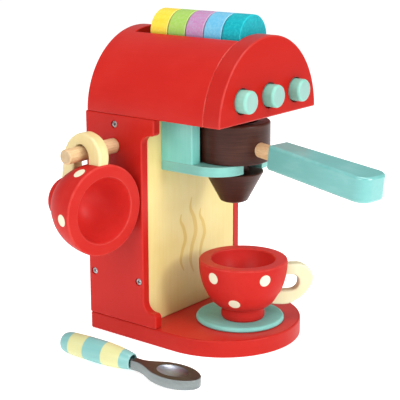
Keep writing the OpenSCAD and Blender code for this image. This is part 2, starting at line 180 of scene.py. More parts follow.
def slab(b, outer, w0, w1, r0, r1, holes=(), loops=(), hole_r=None, seg=4, mat=0, cap1=None, cap1_mat=None):
    """An extruded outline (u, v) from w0 to w1 with its edges rounded to r0 and r1. holes are (cu, cv, [(r, w) ...], n): a round hole's wall from the w0 face to the w1 face. loops are other openings, clockwise outlines, rounded like the outside."""
    levels = [(90 - 90 * k / seg, -1) for k in range(seg)] if r0 > 0 else []
    levels += [(0, -1)] + [(0, 1)]
    levels += [(90 * (k + 1) / seg, 1) for k in range(seg)] if r1 > 0 else []
    caps = {-1: [], 1: []}
    for loop, rr in [(outer, None), *[(x, hole_r) for x in loops]]:
        p, into, nb, na, edge = loop_data(loop)
        n = len(p)
        a0, a1 = (r0, r1) if rr is None else rr
        starts, frames = [], []
        for t, side in levels:
            r = a0 if side < 0 else a1
            c, s = math.cos(math.radians(t)), math.sin(math.radians(t))
            q = p + into * r * (1 - c)
            w = w0 + r - r * s if side < 0 else w1 - r + r * s
            e = np.maximum(edge, math.sin(math.radians(2 * t)) ** 0.5 if 0 < t < 90 else 0)
            starts.append(b.add(np.column_stack([q, np.full(n, w)]), e))
            frames.append((c, s * side))
        for k in range(len(levels) - 1):
            (c0, s0), (c1, s1) = frames[k], frames[k + 1]
            for i in range(n):
                j = (i + 1) % n
                na_i, nb_j = na[i], nb[j]
                b.face(
                    (starts[k] + i, starts[k] + j, starts[k + 1] + j, starts[k + 1] + i),
                    (
                        (na_i[0] * c0, na_i[1] * c0, s0),
                        (nb_j[0] * c0, nb_j[1] * c0, s0),
                        (nb_j[0] * c1, nb_j[1] * c1, s1),
                        (na_i[0] * c1, na_i[1] * c1, s1),
                    ),
                    mat,
                )
        for side, k in ((-1, 0), (1, len(levels) - 1)):
            caps[side].append([starts[k] + i for i in range(n)])
    for cu, cv, prof, n in holes:
        rows = wall(b, cu, cv, prof, n, mat)
        caps[-1].append(rows[0])
        caps[1].append(rows[-1])
    for side, rings in caps.items():
        if side == 1 and cap1 is not None:
            cap1(b, rings[0])
            continue
        flat = [i for r in rings for i in r]
        tris = tessellate_polygon([[Vector((b.v[i][0], b.v[i][1], 0)) for i in r] for r in rings])
        for t in tris:
            i, j, k = (flat[x] for x in t)
            a, c, d = b.v[i], b.v[j], b.v[k]
            area = (c[0] - a[0]) * (d[1] - a[1]) - (c[1] - a[1]) * (d[0] - a[0])
            if abs(area) < 1e-9:
                continue
            if (area > 0) != (side > 0):
                j, k = k, j
            b.face((i, j, k), ((0, 0, side),) * 3, mat if side < 0 or cap1_mat is None else cap1_mat)
    return b


def wall(b, cu, cv, prof, n, mat=0):
    """A round hole's wall round (cu, cv): rings of radius r at height w, from the low face to the high one, facing inwards."""
    pr = np.array(prof, float)
    d = np.diff(pr, axis=0)
    ln = np.linalg.norm(d, axis=1)
    seg_n = np.stack([-d[:, 1], d[:, 0]], 1) / ln[:, None]  # towards the axis on a straight wall
    rows = []
    for r, w in prof:
        pts = [(cu + r * math.cos(2 * math.pi * i / n), cv + r * math.sin(2 * math.pi * i / n), w) for i in range(n)]
        k = b.add(pts, [0.0] * n)
        rows.append([k + i for i in range(n)])
    vn = []
    for j in range(len(prof)):
        a = seg_n[j - 1] if j else seg_n[0]
        c = seg_n[j] if j < len(seg_n) else seg_n[-1]
        sharp = float(a @ c) < math.cos(math.radians(35))
        m = a * ln[max(j - 1, 0)] + c * ln[min(j, len(ln) - 1)]
        m /= np.linalg.norm(m)
        vn.append((a, c) if sharp else (m, m))
    for j in range(len(prof) - 1):
        s, e = vn[j][1], vn[j + 1][0]
        for i in range(n):
            k = (i + 1) % n
            c0, s0 = math.cos(2 * math.pi * i / n), math.sin(2 * math.pi * i / n)
            c1, s1 = math.cos(2 * math.pi * k / n), math.sin(2 * math.pi * k / n)
            b.face(
                (rows[j][k], rows[j][i], rows[j + 1][i], rows[j + 1][k]),
                ((s[0] * c1, s[0] * s1, s[1]), (s[0] * c0, s[0] * s0, s[1]), (e[0] * c0, e[0] * s0, e[1]), (e[0] * c1, e[0] * s1, e[1])),
                mat,
            )
    return rows


def lathe(b, prof, n=96, mats=None, closed=False):
    """A profile of (r, w) points turned round the W axis. It runs up the outside, so the solid lies on its left. mats gives each stretch's material."""
    pr = np.array(prof, float)
    cnt = len(pr)
    last = cnt if closed else cnt - 1
    d = np.array([pr[(j + 1) % cnt] - pr[j] for j in range(last)])
    ln = np.maximum(np.linalg.norm(d, axis=1), 1e-9)
    sn = np.stack([d[:, 1], -d[:, 0]], 1) / ln[:, None]
    before, after, edge = [], [], []
    for j in range(cnt):
        ja, jc = (j - 1, j) if closed else (max(j - 1, 0), min(j, last - 1))
        a, c = sn[ja % last], sn[jc % last]
        turn = math.atan2(a[0] * c[1] - a[1] * c[0], float(a @ c))
        m = a * ln[ja % last] + c * ln[jc % last]
        m /= max(np.linalg.norm(m), 1e-9)
        if not closed and j in (0, cnt - 1) and pr[j][0] < 1e-6:
            m = np.array([0.0, math.copysign(1, m[1])])
            a = c = m
            turn = 0
        sharp = abs(turn) > math.radians(35)
        before.append(a if sharp else m)
        after.append(c if sharp else m)
        edge.append(float(np.clip((turn / ((ln[ja % last] + ln[jc % last]) / 2) - 0.12) / 0.5, 0, 1)))
    ang = [2 * math.pi * i / n for i in range(n)]
    cs = [(math.cos(a), math.sin(a)) for a in ang]
    rows = []
    for j in range(cnt):
        r, w = pr[j]
        if r < 1e-6:
            rows.append([b.add([(0, 0, w)], [edge[j]])] * n)
        else:
            k = b.add([(r * c, r * s, w) for c, s in cs], [edge[j]] * n)
            rows.append([k + i for i in range(n)])
    for j in range(last):
        q = (j + 1) % cnt
        s, e = after[j], before[q]
        mat = mats[j] if mats else 0
        for i in range(n):
            k = (i + 1) % n
            (c0, s0), (c1, s1) = cs[i], cs[k]
            idx = [rows[j][i], rows[j][k], rows[q][k], rows[q][i]]
            nn = [(s[0] * c0, s[0] * s0, s[1]), (s[0] * c1, s[0] * s1, s[1]), (e[0] * c1, e[0] * s1, e[1]), (e[0] * c0, e[0] * s0, e[1])]
            if idx[0] == idx[1]:
                idx, nn = [idx[0], idx[2], idx[3]], [nn[0], nn[2], nn[3]]
            elif idx[2] == idx[3]:
                idx, nn = idx[:3], nn[:3]
            b.face(idx, nn, mat)
    return b


# -------------------------------------------------------------- materials
def link(nt, kind, ins=None, **props):
    n = nt.nodes.new(kind)
    for k, v in props.items():
        setattr(n, k, v)
    for k, v in (ins or {}).items():
        sock = n.inputs[k]
        if isinstance(v, bpy.types.NodeSocket):
            nt.links.new(v, sock)
        else:
            sock.default_value = v
    return n


def srgb(r, g, b):
    """A colour given as 0-255 display values, as the linear values that shaders take."""
    return tuple(
        (x / 255 / 12.92) if x / 255 <= 0.04045 else ((x / 255 + 0.055) / 1.055) ** 2.4
        for x in (r, g, b)
    ) + (1.0,)


def mix(nt, fac, a, b, mode="MIX"):
    n = nt.nodes.new("ShaderNodeMix")
    n.data_type = "RGBA"
    n.blend_type = mode
    n.clamp_factor = True
    for k, v in ((0, fac), (6, a), (7, b)):
        if isinstance(v, bpy.types.NodeSocket):
            nt.links.new(v, n.inputs[k])
        else:
            n.inputs[k].default_value = v
    return n.outputs[2]


def math_(nt, op, a, b=0.0, c=0.0, clamp=False):
    n = nt.nodes.new("ShaderNodeMath")
    n.operation = op
    n.use_clamp = clamp
    for k, v in enumerate((a, b, c)):
        if isinstance(v, bpy.types.NodeSocket):
            nt.links.new(v, n.inputs[k])
        else:
            n.inputs[k].default_value = v
    return n.outputs[0]


def ramp(nt, v, lo, hi, a=0.0, b=1.0):
    n = link(nt, "ShaderNodeMapRange", {0: v, 1: lo, 2: hi, 3: a, 4: b})
    n.clamp = True
    return n.outputs[0]


def coords(nt, scale, turn=(0, 0, 0), move=(0, 0, 0)):
    tc = nt.nodes.new("ShaderNodeTexCoord")
    m = link(nt, "ShaderNodeMapping", {"Vector": tc.outputs["Object"], "Scale": scale, "Rotation": turn, "Location": move})
    return m.outputs[0]


def noise(nt, vec, scale, detail=2.0, rough=0.5, dist=0.0):
    return link(nt, "ShaderNodeTexNoise", {"Vector": vec, "Scale": scale, "Detail": detail, "Roughness": rough, "Distortion": dist}).outputs["Fac"]


def start(name):
    m = bpy.data.materials.new(name)
    m.use_nodes = True
    nt = m.node_tree
    nt.nodes.clear()
    out = nt.nodes.new("ShaderNodeOutputMaterial")
    bsdf = nt.nodes.new("ShaderNodeBsdfPrincipled")
    nt.links.new(bsdf.outputs[0], out.inputs[0])
    return m, nt, bsdf


AXES = {"x": (0.06, 1, 1), "y": (1, 0.06, 1), "z": (1, 1, 0.06), "round": (0.1, 0.1, 2.4)}


def paint(name, base, grain="z", pale=None, deep=None, rough=0.36, grain_amount=0.35, mottle=0.5, bump=0.10, wear_and_highlight=0.45, turn=(0, 0, 0), spec=0.5, coat=0.0, dots=None, dot_colour=None, shade=None, edge_colour=None, highlight_line_y=None):
    """Satin lacquer on close-grained wood: a soft mottle, streaks along the grain, paler colour on rounded edges that
    is partly thin, worn paint and partly a painted highlight, and fine pores in the bump.
    """
    m, nt, bsdf = start(name)
    pale = pale or tuple(min(1.0, c * 1.35 + 0.02) for c in base[:3]) + (1,)
    deep = deep or tuple(c * 0.72 for c in base[:3]) + (1,)
    ax = AXES[grain]
    streak_v = coords(nt, tuple(1000 * a for a in ax), turn)
    streak = noise(nt, streak_v, 0.32, 3.0, 0.6)
    fine = noise(nt, streak_v, 1.3, 2.0, 0.5)
    cloud = noise(nt, coords(nt, (1000, 1000, 1000)), 0.035, 2.0, 0.5)
    both = math_(nt, "ADD", math_(nt, "MULTIPLY", ramp(nt, cloud, 0.3, 0.7, -1, 1), 0.5 * mottle), math_(nt, "MULTIPLY", ramp(nt, streak, 0.3, 0.7, -1, 1), 0.5 * grain_amount))
    col = mix(nt, ramp(nt, both, 0.0, 1.0), base, pale)
    col = mix(nt, ramp(nt, both, 0.0, -1.0), col, deep)
    # paler colour on rounded edges: partly worn, thin paint and partly a painted highlight
    edge = link(nt, "ShaderNodeAttribute", attribute_name="edge_and_recess_mask").outputs["Fac"]
    tint_band = math_(nt, "MULTIPLY", edge, ramp(nt, noise(nt, coords(nt, (1000, 1000, 1000)), 0.18, 3.0, 0.6), 0.35, 0.65, 0.35, 1.0))
    col = mix(nt, math_(nt, "MULTIPLY", tint_band, wear_and_highlight), col, edge_colour or pale)
    if highlight_line_y is not None:
        # painted highlight: a paler line on the rounded edge at the front end
        tc = nt.nodes.new("ShaderNodeTexCoord")
        y = link(nt, "ShaderNodeSeparateXYZ", {0: tc.outputs["Object"]}).outputs[1]
        end = ramp(nt, y, highlight_line_y + 0.0008, highlight_line_y + 0.0003)
        part = ramp(nt, noise(nt, coords(nt, (1000, 1000, 1000)), 0.1, 2.0, 0.5), 0.35, 0.6, 0.1, 0.7)
        col = mix(nt, math_(nt, "MULTIPLY", end, part), col, edge_colour)
    if dots:
        best = None
        tc = nt.nodes.new("ShaderNodeTexCoord")
        for c, r in dots:
            dist = link(nt, "ShaderNodeVectorMath", {0: tc.outputs["Object"], 1: c}, operation="DISTANCE").outputs["Value"]
            inside = ramp(nt, dist, r + 0.00012, r - 0.00012)
            best = inside if best is None else math_(nt, "MAXIMUM", best, inside)
        col = mix(nt, best, col, dot_colour)
    if shade is not None:
        col = mix(nt, shade(nt), col, deep)
    nt.links.new(col, bsdf.inputs["Base Color"])
    nt.links.new(ramp(nt, math_(nt, "ADD", cloud, math_(nt, "MULTIPLY", fine, 0.5)), 0.45, 1.05, rough - 0.05, rough + 0.07), bsdf.inputs["Roughness"])
    bsdf.inputs["Specular IOR Level"].default_value = spec
    bsdf.inputs["Coat Weight"].default_value = coat
    bsdf.inputs["Coat Roughness"].default_value = 0.25
    h = math_(nt, "ADD", math_(nt, "MULTIPLY", fine, 0.5), streak)
    bp = link(nt, "ShaderNodeBump", {"Height": h, "Strength": bump, "Distance": 0.0004})
    nt.links.new(bp.outputs[0], bsdf.inputs["Normal"])
    return m


def bare(name, light, mid, dark, grain="x", turn=(0, 0, 0), spec=0.45, rough=0.5, fleck=1.0, bump=0.2, centre=(0, 0, 0), edge_colour=None, speckle=None, speckle_amount=0.5, painted_shade_y=None):
    """Close-grained wood under thin clear lacquer, or stained: streaks, flecks and pores."""
    m, nt, bsdf = start(name)
    ax = AXES[grain]
    v = coords(nt, tuple(1000 * a for a in ax), turn, centre)
    broad = noise(nt, v, 0.22, 3.0, 0.55, 0.4)
    fine = noise(nt, v, 0.9, 3.0, 0.65)
    short = tuple(1000 * (0.22 if a < 0.5 else 1.0) for a in ax)
    pores = noise(nt, coords(nt, short, turn, centre), 1.6, 2.0, 0.5)
    cells = noise(nt, coords(nt, (1000, 1000, 1000)), 0.06, 2.0, 0.5)
    col = mix(nt, ramp(nt, broad, 0.32, 0.68), light, mid)
    col = mix(nt, math_(nt, "MULTIPLY", ramp(nt, fine, 0.45, 0.72), 0.55 * fleck), col, dark)
    col = mix(nt, math_(nt, "MULTIPLY", ramp(nt, pores, 0.58, 0.72), 0.5 * fleck), col, dark)
    col = mix(nt, math_(nt, "MULTIPLY", ramp(nt, cells, 0.4, 0.7), 0.25), col, light)
    if speckle is not None:
        spots = noise(nt, coords(nt, (1000, 1000, 1000), (0, 0, 0), centre), 0.5, 4.0, 0.7)
        col = mix(nt, math_(nt, "MULTIPLY", ramp(nt, spots, 0.47, 0.63), speckle_amount), col, speckle)
    # painted highlight: a paler line along the rounded edges
    if edge_colour is not None:
        edge = link(nt, "ShaderNodeAttribute", attribute_name="edge_and_recess_mask").outputs["Fac"]
        col = mix(nt, math_(nt, "MULTIPLY", edge, ramp(nt, cells, 0.3, 0.6, 0.45, 0.8)), col, edge_colour)
    if painted_shade_y is not None:
        # painted shade along the edge that stands against the next piece
        tc = nt.nodes.new("ShaderNodeTexCoord")
        y = link(nt, "ShaderNodeSeparateXYZ", {0: tc.outputs["Object"]}).outputs[1]
        col = mix(nt, ramp(nt, y, painted_shade_y - 0.0011, painted_shade_y - 0.0004, 0.0, 0.8), col, tuple(c * 0.22 for c in mid[:3]) + (1,))
    nt.links.new(col, bsdf.inputs["Base Color"])
    nt.links.new(ramp(nt, fine, 0.3, 0.7, rough - 0.06, rough + 0.1), bsdf.inputs["Roughness"])
    bsdf.inputs["Specular IOR Level"].default_value = spec
    h = math_(nt, "SUBTRACT", fine, math_(nt, "MULTIPLY", pores, 0.6))
    bp = link(nt, "ShaderNodeBump", {"Height": h, "Strength": bump, "Distance": 0.0004})
    nt.links.new(bp.outputs[0], bsdf.inputs["Normal"])
    return m


def metal(name, colour, rough=0.28, brushed=(1, 1, 1)):
    m, nt, bsdf = start(name)
    v = coords(nt, tuple(1000 * a for a in brushed))
    n1 = noise(nt, v, 2.2, 3.0, 0.6)
    dark = tuple(c * 0.72 for c in colour[:3]) + (1,)
    col = mix(nt, ramp(nt, n1, 0.3, 0.7), dark, colour)
    # painted shade: the screw heads' cross recesses are darkened
    recess_shade = link(nt, "ShaderNodeAttribute", attribute_name="edge_and_recess_mask").outputs["Fac"]
    col = mix(nt, recess_shade, col, tuple(c * 0.1 for c in colour[:3]) + (1,))
    nt.links.new(col, bsdf.inputs["Base Color"])
    bsdf.inputs["Metallic"].default_value = 1.0
    nt.links.new(ramp(nt, n1, 0.3, 0.7, rough - 0.06, rough + 0.12), bsdf.inputs["Roughness"])
    bp = link(nt, "ShaderNodeBump", {"Height": n1, "Strength": 0.15, "Distance": 0.0002})
    nt.links.new(bp.outputs[0], bsdf.inputs["Normal"])
    return m


RED = srgb(183, 30, 23)
RED_PALE = srgb(195, 52, 42)
RED_DEEP = srgb(169, 21, 17)
RED_EDGE_HIGHLIGHT = srgb(212, 92, 78)
SATIN = dict(rough=0.33, grain_amount=0.14, mottle=0.3, spec=0.22)
red_z = paint("red_lacquer_z", RED, "z", RED_PALE, RED_DEEP, **{**SATIN, "spec": 0.15})
red_y = paint("red_lacquer_y", RED, "y", RED_PALE, RED_DEEP, **SATIN)
red_x = paint("red_lacquer_x", srgb(171, 24, 16), "x", srgb(182, 36, 26), srgb(160, 18, 12), edge_colour=srgb(200, 76, 64), wear_and_highlight=0.3, **{**SATIN, "spec": 0.06})
red_arch = paint("red_lacquer_arch", srgb(174, 29, 22), "x", srgb(187, 50, 40), srgb(161, 21, 17), edge_colour=srgb(200, 76, 64), wear_and_highlight=0.35, **SATIN)
# painted light: the base's top takes a lighter copy of this red and its sides a darker one
red_lit_base_top = paint("red_lacquer_lit_base_top", srgb(190, 36, 28), "x", srgb(200, 54, 44), srgb(178, 26, 21), **{**SATIN, "spec": 0.32, "rough": 0.34})
red_shaded_base_side = paint("red_lacquer_shaded_base_side", srgb(176, 32, 25), "x", srgb(188, 52, 42), srgb(164, 23, 19), **{**SATIN, "spec": 0.12, "rough": 0.4})
red_cup = (srgb(180, 36, 31), srgb(192, 56, 48), srgb(166, 27, 24))
red_shell = paint("red_lacquer_shell", RED, "y", RED_PALE, RED_DEEP, edge_colour=RED_EDGE_HIGHLIGHT, highlight_line_y=-0.0425, **SATIN)
# a lighter red for the cups' insides; on the front cup's rim top it is painted light
red_lighter_inside_lit_rim = paint("red_lacquer_lighter_inside_lit_rim", srgb(204, 46, 41), "x", srgb(216, 66, 60), srgb(191, 37, 34), **{**SATIN, "spec": 0.14, "rough": 0.4})
cream = paint("cream_lacquer", srgb(226, 206, 136), "z", srgb(231, 220, 163), srgb(217, 191, 111), rough=0.42, bump=0.08)
print_m = paint("cream_print", srgb(214, 184, 96), "z", srgb(221, 195, 111), srgb(204, 171, 80), rough=0.45, wear_and_highlight=0)
mint = paint("mint_lacquer", srgb(115, 193, 182), "z", srgb(145, 210, 200), srgb(89, 172, 162), rough=0.38, grain_amount=0.5, mottle=0.7, wear_and_highlight=0.05)
mint_fork = paint("mint_lacquer_fork", srgb(111, 177, 167), "y", srgb(140, 190, 178), srgb(90, 152, 142), rough=0.38, wear_and_highlight=0.6, edge_colour=srgb(158, 206, 194))
mint_flat = paint("mint_lacquer_y", srgb(124, 190, 181), "y", srgb(152, 205, 196), srgb(100, 167, 156), rough=0.45, wear_and_highlight=0.25, spec=0.2)
pale_mint = paint("pale_mint_lacquer", srgb(132, 172, 163), "z", srgb(156, 184, 176), srgb(112, 158, 147), rough=0.45, wear_and_highlight=0.2)
# painted light: a lighter, greener copy of the buttons' paint for their sides
pale_mint_lit_side = paint("pale_mint_lacquer_lit_side", srgb(124, 186, 170), "y", srgb(150, 200, 186), srgb(104, 172, 154), rough=0.45, wear_and_highlight=0.2)
aqua = paint("aqua_lacquer", srgb(82, 163, 159), "y", srgb(132, 192, 189), srgb(64, 145, 140), rough=0.36, grain_amount=0.3, mottle=0.45, spec=0.9, coat=0.7, edge_colour=srgb(170, 212, 207), wear_and_highlight=0.22)
brown = paint("brown_lacquer", srgb(60, 30, 22), "round", srgb(80, 47, 36), srgb(40, 17, 10), rough=0.34, grain_amount=0.9, bump=0.25, spec=0.2)
ivory = paint("ivory_lacquer", srgb(213, 194, 137), "z", srgb(217, 207, 168), srgb(205, 178, 113), rough=0.42)
ivory_front = paint("ivory_lacquer_front", srgb(212, 204, 164), "z", srgb(218, 214, 187), srgb(206, 192, 142), rough=0.42)
beech = bare("beech_dowel", srgb(213, 184, 141), srgb(201, 162, 117), srgb(161, 114, 73), "x")
beech_end = bare("beech_end_grain", srgb(190, 166, 130), srgb(178, 150, 112), srgb(146, 112, 78), "x", fleck=0.7)
beech_y = bare("beech_dowel_y", srgb(213, 184, 141), srgb(201, 162, 117), srgb(161, 114, 73), "y")
beech_in = bare("beech_inside", srgb(208, 184, 146), srgb(198, 166, 124), srgb(172, 132, 90), "x")
steel = metal("plated_steel", srgb(196, 198, 200), 0.26)
spring_steel = metal("spring_steel", srgb(150, 152, 156), 0.3)

# ------------------------------------------------------------- sizes (mm)
R = 65.0
SEAM = 186.2  # the hood's underside
ARCH_Z = 185.0  # centre of its arch


def finish_piece(ob, body, slot, *nodes):
    if nodes:
        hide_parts(*nodes)
    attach(ob, body)
    return ob


# ------------------------------------------------------------------ base
b = Build()
outline = [(65.0, -13.0)] + fillet([(65, -13, 0), (65, 78, 2.5), (-65, 78, 2.5), (-65, -13, 0)], 5)[1:-1] + arc(0, -13, 65, 180, 360, 96)[:-1]
counter = [(4.0, 0.0), (4.0, 3.0), (1.9, 3.0), (1.9, 14.0)]
# the top face takes the lighter red: painted light
slab(b, outline, 0, 14, 0.8, 1.5, holes=[(x, y, counter, 32) for x in (-35, 35) for y in (23.75, 72)], cap1_mat=1)
finish_piece(b.make("base_board_shaped", UP, [red_shaded_base_side, red_lit_base_top]), "machine", "red_paint", "base_board")

b = Build()
lathe(b, bend([(0.001, 0, 0), (35.4, 0, 0.4), (36.4, 1.0, 0.4), (36.4, 4, 2.4), (0.001, 4, 0)], 4), 128)
finish_piece(b.make("drip_plate_turned", placing((0, -31, 14)), [mint_flat]), "machine", "mint_paint", "drip_plate")

# ---------------------------------------------------------------- column
SCREWS = [(47, 178), (72, 51), (23.75, 51)]
profile = fillet(
    [(5.6, 14, 1.2), (78, 14, 1.2), (78, SEAM, 1.2), (5.6, SEAM, 1.2), (5.6, 172.7, 3.2), (18.5, 172.7, 8), (18.5, 26.3, 8), (5.6, 26.3, 3.2)],
    7,
)
for side, name in ((-1, "left"), (1, "right")):
    lo, hi = (-65, -57.5) if side < 0 else (57.5, 65)
    holes = []
    for y, z in SCREWS:
        rim = [(1.6, lo), (1.6, hi - 2.2), (3.05, hi - 2.2), (3.05, hi - 0.25), (3.3, hi)] if side > 0 else [(3.3, lo), (3.05, lo + 0.25), (3.05, lo + 2.2), (1.6, lo + 2.2), (1.6, hi)]
        holes.append((y, z, rim, 36))
    if side < 0:
        holes.append((47.9, 160.75, [(6.25, lo), (6.05, lo + 0.25), (6.05, hi)], 48))
    b = Build()
    slab(b, profile, lo, hi, 1.3 if side < 0 else 0.6, 0.6 if side < 0 else 1.3, holes=holes)
    finish_piece(b.make("side_panel_%s_board" % name, TO_X, [red_z]), "machine", "red_paint", "side_panel_%s" % name)

b = Build()
slab(b, fillet([(-57.5, 14, 0.4), (57.5, 14, 0.4), (57.5, SEAM, 0.4), (-57.5, SEAM, 0.4)], 2), -28.5, -19, 0.5, 0.7)
finish_piece(b.make("front_panel_board", TO_FRONT, [cream]), "machine", "cream_paint", "front_panel")
b = Build()
slab(b, fillet([(-57.5, 14, 0.4), (57.5, 14, 0.4), (57.5, SEAM, 0.4), (-57.5, SEAM, 0.4)], 2), -77, -67, 0.7, 0.5)
finish_piece(b.make("back_panel_board", TO_FRONT, [red_z]), "machine", "red_paint", "back_panel")


# ---------------------------------------------------------------- screws
def screw(b, place, head_r, length, dome=0.5, depth=1.5, turn=0.0):
    """A cross-head screw: domed head with a cruciform recess, and a threaded shank. W points out of the head."""
    rings, n = 14, 64
    o, u, v, w = (np.array(x, float) for x in place)

    def put(x, y, z):
        p = o + x * u + y * v + z * w
        return tuple(p)

    def top(x, y, only_cut=False):
        r = math.hypot(x, y) / head_r
        z = dome * (1 - r * r)
        a = math.radians(turn)
        xr, yr = x * math.cos(a) + y * math.sin(a), -x * math.sin(a) + y * math.cos(a)
        cross = min(max(abs(xr) / (0.62 * head_r), abs(yr) / (0.15 * head_r)), max(abs(yr) / (0.62 * head_r), abs(xr) / (0.15 * head_r)))
        cut = max(0.0, min(1.0, (1.25 - cross) / 0.5))
        if only_cut:
            return cut
        return z - cut * depth * 0.6 * (1 - 0.5 * r)

    k0 = b.add([put(0, 0, top(0, 0))], [1.0])
    rows = []
    for j in range(1, rings + 1):
        r = head_r * j / rings
        ring = [(r * math.cos(2 * math.pi * i / n), r * math.sin(2 * math.pi * i / n)) for i in range(n)]
        # the recess mask goes into the edge attribute, which the metal darkens as painted shade
        rows.append(b.add([put(x, y, top(x, y)) for x, y in ring], [top(x, y, True) for x, y in ring]))
    side = [(head_r, -0.5), (head_r * 0.55, -1.9), (1.5, -2.2)]
    z = -2.2
    while z > -length:
        side += [(1.5, z - 0.25), (1.12, z - 0.6), (1.12, z - 0.75), (1.5, z - 1.1)]
        z -= 1.1
    side += [(0.5, z - 1.4)]
    for r, z in side:
        rows.append(b.add([put(r * math.cos(2 * math.pi * i / n), r * math.sin(2 * math.pi * i / n), z) for i in range(n)], [0.0] * n))
    kl = b.add([put(0, 0, side[-1][1] - 0.3)], [0])
    for i in range(n):
        k = (i + 1) % n
        b.f.append((k0, rows[0] + i, rows[0] + k))
        for j in range(len(rows) - 1):
            b.f.append((rows[j] + i, rows[j + 1] + i, rows[j + 1] + k, rows[j] + k))
        b.f.append((rows[-1] + i, kl, rows[-1] + k))
    b.m += [0] * (len(b.f) - len(b.m))


def auto(ob, angle=38):
    ob.data.set_sharp_from_angle(angle=math.radians(angle))
    return ob


b = Build()
for side in (-1, 1):
    for k, (y, z) in enumerate(SCREWS):
        screw(b, ((side * 64.1, y, z), (0, 0, 1) if side < 0 else (0, 1, 0), (0, 1, 0) if side < 0 else (0, 0, 1), (side, 0, 0)), 2.65, 22, turn=20 + 31 * k)
auto(finish_piece(b.make("panel_screws_cross_head", UP, [steel]), "machine", "steel", "panel_screws"))
b = Build()
for x in (-35, 35):
    for k, y in enumerate((23.75, 72)):
        screw(b, ((x, y, 1.6), (0, 1, 0), (1, 0, 0), (0, 0, -1)), 3.5, 26, turn=15 + 40 * k + x)
auto(finish_piece(b.make("base_screws_cross_head", UP, [steel]), "machine", "steel", "base_screws"))
b = Build()
for x in (-30, 30):
    screw(b, ((x, 47, 173.8), (0, 1, 0), (1, 0, 0), (0, 0, -1)), 3.5, 18, turn=x)
auto(finish_piece(b.make("hood_screws_cross_head", UP, [steel]), "machine", "steel", "hood_screws"))
b = Build()
for x in (-34.875, 34.875):
    screw(b, ((x, 3, 142.1), (0, 1, 0), (1, 0, 0), (0, 0, -1)), 3.0, 15, turn=2 * x)
    screw(b, ((x, 3, 197.4), (1, 0, 0), (0, 1, 0), (0, 0, 1)), 3.0, 22, turn=x)
auto(finish_piece(b.make("bracket_screws_cross_head", UP, [steel]), "machine", "steel", "bracket_screws"))


# ------------------------------------------------------------------ hood
def hood_shell():
    """The arch with its slot, hollow below and closed behind, as one closed mesh whose hard edges a bevel rounds."""
    n, ri = 96, 53.0
    y0, ys, y1 = -42.5, 62.0, 76.0
    edge_x = 20.5
    verts, index, faces = [], {}, []

    def vid(x, y, z):
        key = (round(x, 4), round(y, 4), round(z, 4))
        if key not in index:
            index[key] = len(verts)
            verts.append(key)
        return index[key]

    def angles(r):
        low = math.degrees(math.asin((SEAM - ARCH_Z) / r))
        cut = math.degrees(math.acos(edge_x / r))
        lo = [low + (cut - low) * k / 30 for k in range(31)]
        mid = [cut + (180 - 2 * cut) * k / 20 for k in range(21)]
        return lo, mid, [180 - a for a in reversed(lo)]

    def at(r, a, y):
        return vid(r * math.cos(math.radians(a)), y, ARCH_Z + r * math.sin(math.radians(a)))

    ys_list = [y0, ys, y1]
    lo, mid, hi = angles(R)
    li, mi, hi_i = angles(ri)
    for k in range(2):
        ya, yb = ys_list[k], ys_list[k + 1]
        spans = [lo, hi] if k == 0 else [lo, mid, hi]
        for span in spans:
            for a, c in zip(span, span[1:]):
                faces.append((at(R, a, ya), at(R, a, yb), at(R, c, yb), at(R, c, ya))[::-1])
    for span in (li, hi_i):
        for a, c in zip(span, span[1:]):
            faces.append((at(ri, a, y0), at(ri, a, ys), at(ri, c, ys), at(ri, c, y0)))
    # slot walls, from the outside of the arch to its inside
    for x, ao, ai in ((edge_x, lo[-1], li[-1]), (-edge_x, hi[0], hi_i[0])):
        f = (at(R, ao, y0), at(R, ao, ys), at(ri, ai, ys), at(ri, ai, y0))
        faces.append(f[::-1] if x > 0 else f)
    # front ends
    faces.append(tuple([at(R, a, y0) for a in lo] + [at(ri, a, y0) for a in reversed(li)]))
    faces.append(tuple([at(R, a, y0) for a in hi] + [at(ri, a, y0) for a in reversed(hi_i)]))
    # face of the back wall: inside the arch and up through the slot
    faces.append(tuple([at(ri, a, ys) for a in li] + [at(R, a, ys) for a in mid] + [at(ri, a, ys) for a in hi_i]))
    # back
    faces.append(tuple([at(R, a, y1) for a in lo + mid[1:-1] + hi])[::-1])
    # underside
    ra, la, rb, lb = lo[0], hi[-1], li[0], hi_i[-1]
    faces.append((at(R, ra, y0), at(ri, rb, y0), at(ri, rb, ys), at(R, ra, ys)))
    faces.append((at(ri, lb, y0), at(R, la, y0), at(R, la, ys), at(ri, lb, ys)))
    faces.append((at(R, ra, ys), at(ri, rb, ys), at(ri, lb, ys), at(R, la, ys), at(R, la, y1), at(R, ra, y1)))
    mesh = bpy.data.meshes.new("hood_shell_arched")
    mesh.from_pydata([tuple(c * MM for c in v) for v in verts], [], faces)
    mesh.materials.append(red_shell)
    mesh.polygons.foreach_set("use_smooth", [True] * len(faces))
    mesh.update()
    ob = bpy.data.objects.new("hood_shell_arched", mesh)
    bpy.context.scene.collection.objects.link(ob)
    import bmesh

    bm = bmesh.new()
    bm.from_mesh(mesh)
    bmesh.ops.recalc_face_normals(bm, faces=bm.faces[:])
    bm.to_mesh(mesh)
    bm.free()
    bev = ob.modifiers.new("rounded_edges", "BEVEL")
    bev.width = 0.9 * MM
    bev.segments = 4
    bev.limit_method = "ANGLE"
    bev.angle_limit = math.radians(40)
    bev.harden_normals = True
    return ob


finish_piece(hood_shell(), "machine", "red_paint", "hood_shell")

